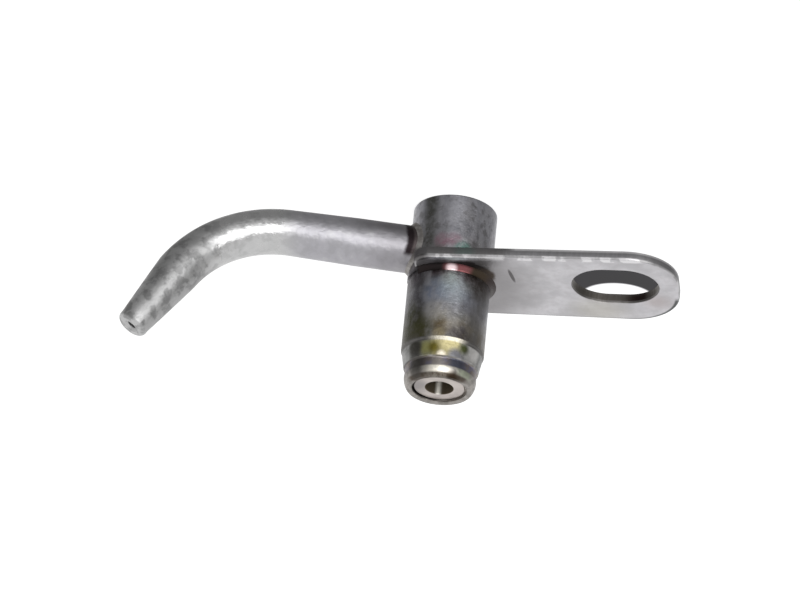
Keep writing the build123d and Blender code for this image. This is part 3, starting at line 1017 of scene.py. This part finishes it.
class NOZZLE_OT_tube(bpy.types.Operator):
    """Draw the jet tube straight, make it oval, bend it and set it into the head"""

    bl_idname = "nozzle.tube"
    bl_label = "Bend Jet Tube"

    def execute(self, context):
        s = sizes()
        start = s.tube_seat - s.bend_start
        oval_start = s.round_until - s.bend_start
        bend_end = s.bend_radius * s.bend_angle
        end = bend_end + s.tip_length
        swage_end = end - s.tip_land
        outside = [
            (s.tube_radius, start), (s.tube_radius, oval_start),
            *run((s.tube_radius, oval_start), (s.tube_radius, 0), OVAL_STEPS),
            *run((s.tube_radius, 0), (s.tube_radius, bend_end), BEND_STEPS),
            *run((s.tube_radius, bend_end), (s.tip_radius, swage_end), SWAGE_STEPS)[:-1],
        ]
        tip = rounded([
            (s.tip_radius, swage_end, 0),
            (s.tip_radius, end, s.tip_round),
            (s.orifice + s.orifice_bevel, end, s.fine_round),
            (s.orifice, end - s.orifice_bevel, 0),
            (s.orifice, end - s.orifice_land, 0),
            (s.tube_bore, bend_end, 0),
        ])
        inside = run((s.tube_bore, bend_end), (s.tube_bore, 0), BEND_STEPS)
        piece = turn("bent_tube", outside + tip + inside + [(s.tube_bore, start)], SIDES)
        close_up()
        self.flatten(piece, oval_start, bend_end, swage_end)
        self.bend(piece, start, end, bend_end)
        settle(piece, tube_finish(), "nozzle", "jet_tube")
        return {"FINISHED"}

    def flatten(self, piece, oval_start, bend_end, swage_end):
        """Makes the wall oval ring by ring, as a tube turns oval in its bend."""
        s = sizes()
        cage = bmesh.from_edit_mesh(piece.data)
        heights = sorted({round(v.co.z, 7) for v in cage.verts if self.on_wall(v)})
        for height in heights:
            if not oval_start < height < swage_end - HAIR:
                continue
            before = 1 - height / oval_start
            after = (swage_end - height) / (swage_end - bend_end)
            share = min(1, before, after)
            thin = 1 + (s.bend_height / s.tube_radius - 1) * share
            wide = 1 + (s.bend_width / s.tube_radius - 1) * share
            pick(piece, "VERT", lambda v: abs(v.co.z - height) < HAIR and self.on_wall(v))
            bpy.ops.transform.resize(value=(thin, wide, 1), center_override=(0, 0, height))

    def on_wall(self, vertex):
        """Whether a vertex of the straight blank lies on the tube's outside. Near the tip the
        outside is narrower than the bore further back."""
        s = sizes()
        radius = vertex.co.xy.length
        in_tip = vertex.co.z > s.bend_radius * s.bend_angle + s.tip_length / 2
        return radius > (s.tip_radius + s.tube_bore) / 2 and (in_tip or radius > 1.02 * s.tube_bore)

    def bend(self, piece, start, end, bend_end):
        """Bends the blank about its bend's start, then turns it onto the tube's line."""
        s = sizes()
        only(piece)
        bender = piece.modifiers.new("bend", "SIMPLE_DEFORM")
        bender.deform_method = "BEND"
        bender.deform_axis = "Y"
        bender.angle = -s.bend_angle
        bender.limits = (-start / (end - start), (bend_end - start) / (end - start))
        bpy.ops.object.modifier_apply(modifier=bender.name)
        place = tube_heading() * s.bend_start + Vector((0, 0, s.tube_height))
        turned = Matrix.Rotation(s.tube_heading, 4, "Z") @ Matrix.Rotation(math.pi / 2, 4, "Y")
        piece.matrix_world = Matrix.Translation(place) @ turned


class NOZZLE_OT_ring(bpy.types.Operator):
    """Turn the seat ring that is pressed into the nose"""

    bl_idname = "nozzle.ring"
    bl_label = "Press in Seat Ring"

    def execute(self, context):
        s = sizes()
        piece = turn("pressed_ring", rounded([
            (s.seat_bore + s.seat_cone, RING_INNER_END, 0),
            (RING_RADIUS, RING_INNER_END, 0),
            (RING_RADIUS, RING_OUTER_END, s.ring_round),
            (s.seat_bore, RING_OUTER_END, s.ring_round),
            (s.seat_bore, RING_INNER_END + s.seat_cone, 0),
        ]), SIDES)
        close_up()
        settle(piece, ring_finish(), "nozzle", "seat_ring")
        return {"FINISHED"}


class NOZZLE_OT_brazing(bpy.types.Operator):
    """Run the brazing metal round the plate's hole and dress the tube's bead"""

    bl_idname = "nozzle.brazing"
    bl_label = "Braze the Joints"

    def execute(self, context):
        s = sizes()
        groove = s.spigot_radius - s.relief_depth
        hole = HEAD_RADIUS + s.braze_gap
        head_foot = (HEAD_RADIUS, PLATE_BACK - s.plate_fillet)
        back_foot = (HEAD_RADIUS + s.plate_fillet, PLATE_BACK)
        face_foot = (hole + s.braze_bevel, 0)
        spigot_foot = (s.spigot_radius, s.relief_width)
        piece = turn("plate_brazing", [
            spigot_foot, (groove, s.relief_width), (groove, 0), (HEAD_RADIUS, 0), head_foot,
            *hollow(head_foot, back_foot, s.fillet_hollow),
            back_foot, (hole, PLATE_BACK), (hole, -s.braze_bevel), face_foot,
            *hollow(face_foot, spigot_foot, s.fillet_hollow),
        ], FINE_SIDES)
        merge_doubles()
        bpy.ops.mesh.bisect(
            plane_co=(PLATE_ROOT - s.braze_setback, 0, 0), plane_no=(1, 0, 0),
            use_fill=True, clear_outer=True,
        )
        close_up()
        settle(piece, plate_braze_finish(), "nozzle", "plate_braze")
        dress(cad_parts["tube_braze"], tube_braze_finish())
        return {"FINISHED"}


class NOZZLE_OT_valve(bpy.types.Operator):
    """Finish the ball and the spring inside the body"""

    bl_idname = "nozzle.valve"
    bl_label = "Finish the Valve"

    def execute(self, context):
        tint = colours()
        dress(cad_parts["check_ball"], plain_metal("polished_ball", tint.ball, 0.08))
        dress(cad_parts["valve_spring"], plain_metal("spring_wire", tint.spring, 0.3))
        return {"FINISHED"}


class NOZZLE_OT_stage(bpy.types.Operator):
    """Set up floor, lamp, world and camera"""

    bl_idname = "nozzle.stage"
    bl_label = "Set up the Studio"

    def execute(self, context):
        self.camera()
        self.floor()
        self.lamp()
        self.world()
        context.scene.view_settings.view_transform = "Standard"
        return {"FINISHED"}

    def camera(self):
        t = studio()
        back = Vector((
            math.sin(t.camera_turn) * math.cos(t.camera_height),
            -math.cos(t.camera_turn) * math.cos(t.camera_height),
            math.sin(t.camera_height),
        ))
        right = Vector((math.cos(t.camera_turn), math.sin(t.camera_turn), 0))
        up = back.cross(right)
        target = right * t.target_right + up * t.target_up
        rolled_right = right * math.cos(t.camera_roll) + up * math.sin(t.camera_roll)
        rolled_up = up * math.cos(t.camera_roll) - right * math.sin(t.camera_roll)
        axes = Matrix((rolled_right, rolled_up, back)).transposed()
        start_clean()
        bpy.ops.object.camera_add(
            location=target + back * t.camera_distance, rotation=axes.to_euler()
        )
        camera = bpy.context.object
        camera.data.lens = t.lens
        camera.data.sensor_width = 36
        camera.data.clip_start = 0.01
        bpy.context.scene.camera = camera

    def floor(self):
        """A pale floor that carries the plate's soft shadow, with the light patch that the slot
        lets through."""
        start_clean()
        bpy.ops.mesh.primitive_plane_add(size=4, location=(0, 0, HEAD_END))
        floor = bpy.context.object
        floor.name = "floor"
        material, finish, place = new_material("pale_floor")
        path = finish.node("LightPath", {}, output=None)
        seen = Wire(finish, path.outputs["Is Camera Ray"])
        y = finish.parts(place)[1]
        narrowed = finish.stretched(place, 0.84, 1.0, 0.0)
        shadow = finish.distance(narrowed, (-18.9, 20.2, 0)).between(7.6, 5.6)
        shadow = shadow * y.between(25.5, 22.5)
        light_patch = finish.distance(narrowed, (-18.65, 24.6, 0)).between(4.9, 4.4)
        level = 1 - 0.95 * shadow * (1 - light_patch)
        tone = finish.mix(level, (0.97, 0.93, 1.0), 1.0)
        grey = finish.mix(level, 0.02, 0.5)
        glow = finish.node("Emission", {}, tone, 0.85 * seen * level)
        matt = finish.node("BsdfDiffuse", {}, grey)
        both = finish.node("AddShader", {}, glow, matt)
        finish.node("OutputMaterial", {}, both)
        dress(floor, material)
        floor.visible_glossy = False
        floor.visible_shadow = False

    def lamp(self):
        """One large soft lamp to the left of the camera, facing the origin."""
        t = studio()
        place = Vector(t.key_from).normalized() * t.key_distance
        facing = (-place).to_track_quat("-Z", "Y").to_euler()
        start_clean()
        bpy.ops.object.light_add(type="AREA", location=place, rotation=facing)
        lamp = bpy.context.object
        lamp.name = "key_lamp"
        lamp.data.shape = "RECTANGLE"
        lamp.data.size = t.key_width
        lamp.data.size_y = t.key_height
        lamp.data.energy = t.key_power
        lamp.visible_camera = False

    def world(self):
        """White for the camera; in the metal, a white backdrop and a dim room behind the camera."""
        t = studio()
        world = bpy.data.worlds.new("studio")
        bpy.context.scene.world = world
        world.use_nodes = True
        finish = Finish(world.node_tree)
        direction = finish.node("TexCoord", {}, output="Generated")
        x, y, z = finish.parts(direction)
        backdrop = (y + z + 0.25 * x).between(-0.35, 0.45)
        towards_key = finish.node(
            "VectorMath", {"operation": "DOT_PRODUCT"},
            direction, (-0.341, -0.936, 0.087), output="Value",
        )
        level = t.dim + (1 - t.dim) * backdrop + 0.45 * towards_key.between(0.55, 0.95)
        path = finish.node("LightPath", {}, output=None)
        glossy = Wire(finish, path.outputs["Is Glossy Ray"])
        diffuse = Wire(finish, path.outputs["Is Diffuse Ray"])
        strength = (1 - glossy - diffuse) + glossy * level + diffuse * 0.5
        background = finish.node("Background", {}, 1.0, strength)
        finish.node("OutputWorld", {}, background)


class NOZZLE_PT_panel(bpy.types.Panel):
    """Lists the steps that build the nozzle."""

    bl_label = "Cooling Nozzle"
    bl_idname = "NOZZLE_PT_panel"
    bl_space_type = "VIEW_3D"
    bl_region_type = "UI"
    bl_category = "Cooling Nozzle"

    def draw(self, context):
        for step in STEPS:
            self.layout.operator(step.bl_idname)
        for group in (sizes(), colours(), studio()):
            for name in type(group).__annotations__:
                self.layout.prop(group, name, text=name.replace("_", " ").capitalize())


STEPS = (
    NOZZLE_OT_body, NOZZLE_OT_plate, NOZZLE_OT_tube, NOZZLE_OT_ring, NOZZLE_OT_brazing,
    NOZZLE_OT_valve, NOZZLE_OT_stage,
)
GROUPS = {
    "nozzle_sizes": NozzleSizes, "nozzle_colours": NozzleColours, "nozzle_studio": NozzleStudio
}


def register():
    for group in GROUPS.values():
        bpy.utils.register_class(group)
    for name, group in GROUPS.items():
        setattr(bpy.types.Scene, name, bpy.props.PointerProperty(type=group))
    for step in STEPS:
        bpy.utils.register_class(step)
    bpy.utils.register_class(NOZZLE_PT_panel)


def unregister():
    bpy.utils.unregister_class(NOZZLE_PT_panel)
    for step in reversed(STEPS):
        bpy.utils.unregister_class(step)
    for name in GROUPS:
        delattr(bpy.types.Scene, name)
    for group in GROUPS.values():
        bpy.utils.unregister_class(group)


def corners(box):
    """A box as plain lists of numbers."""
    return [[round(number, 7) for number in corner] for corner in box]


def main():
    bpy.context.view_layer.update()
    register()
    bpy.ops.nozzle.body()
    bpy.ops.nozzle.plate()
    bpy.ops.nozzle.tube()
    bpy.ops.nozzle.ring()
    bpy.ops.nozzle.brazing()
    bpy.ops.nozzle.valve()
    bpy.ops.nozzle.stage()
    start_clean()


if __name__ == "__main__":
    main()
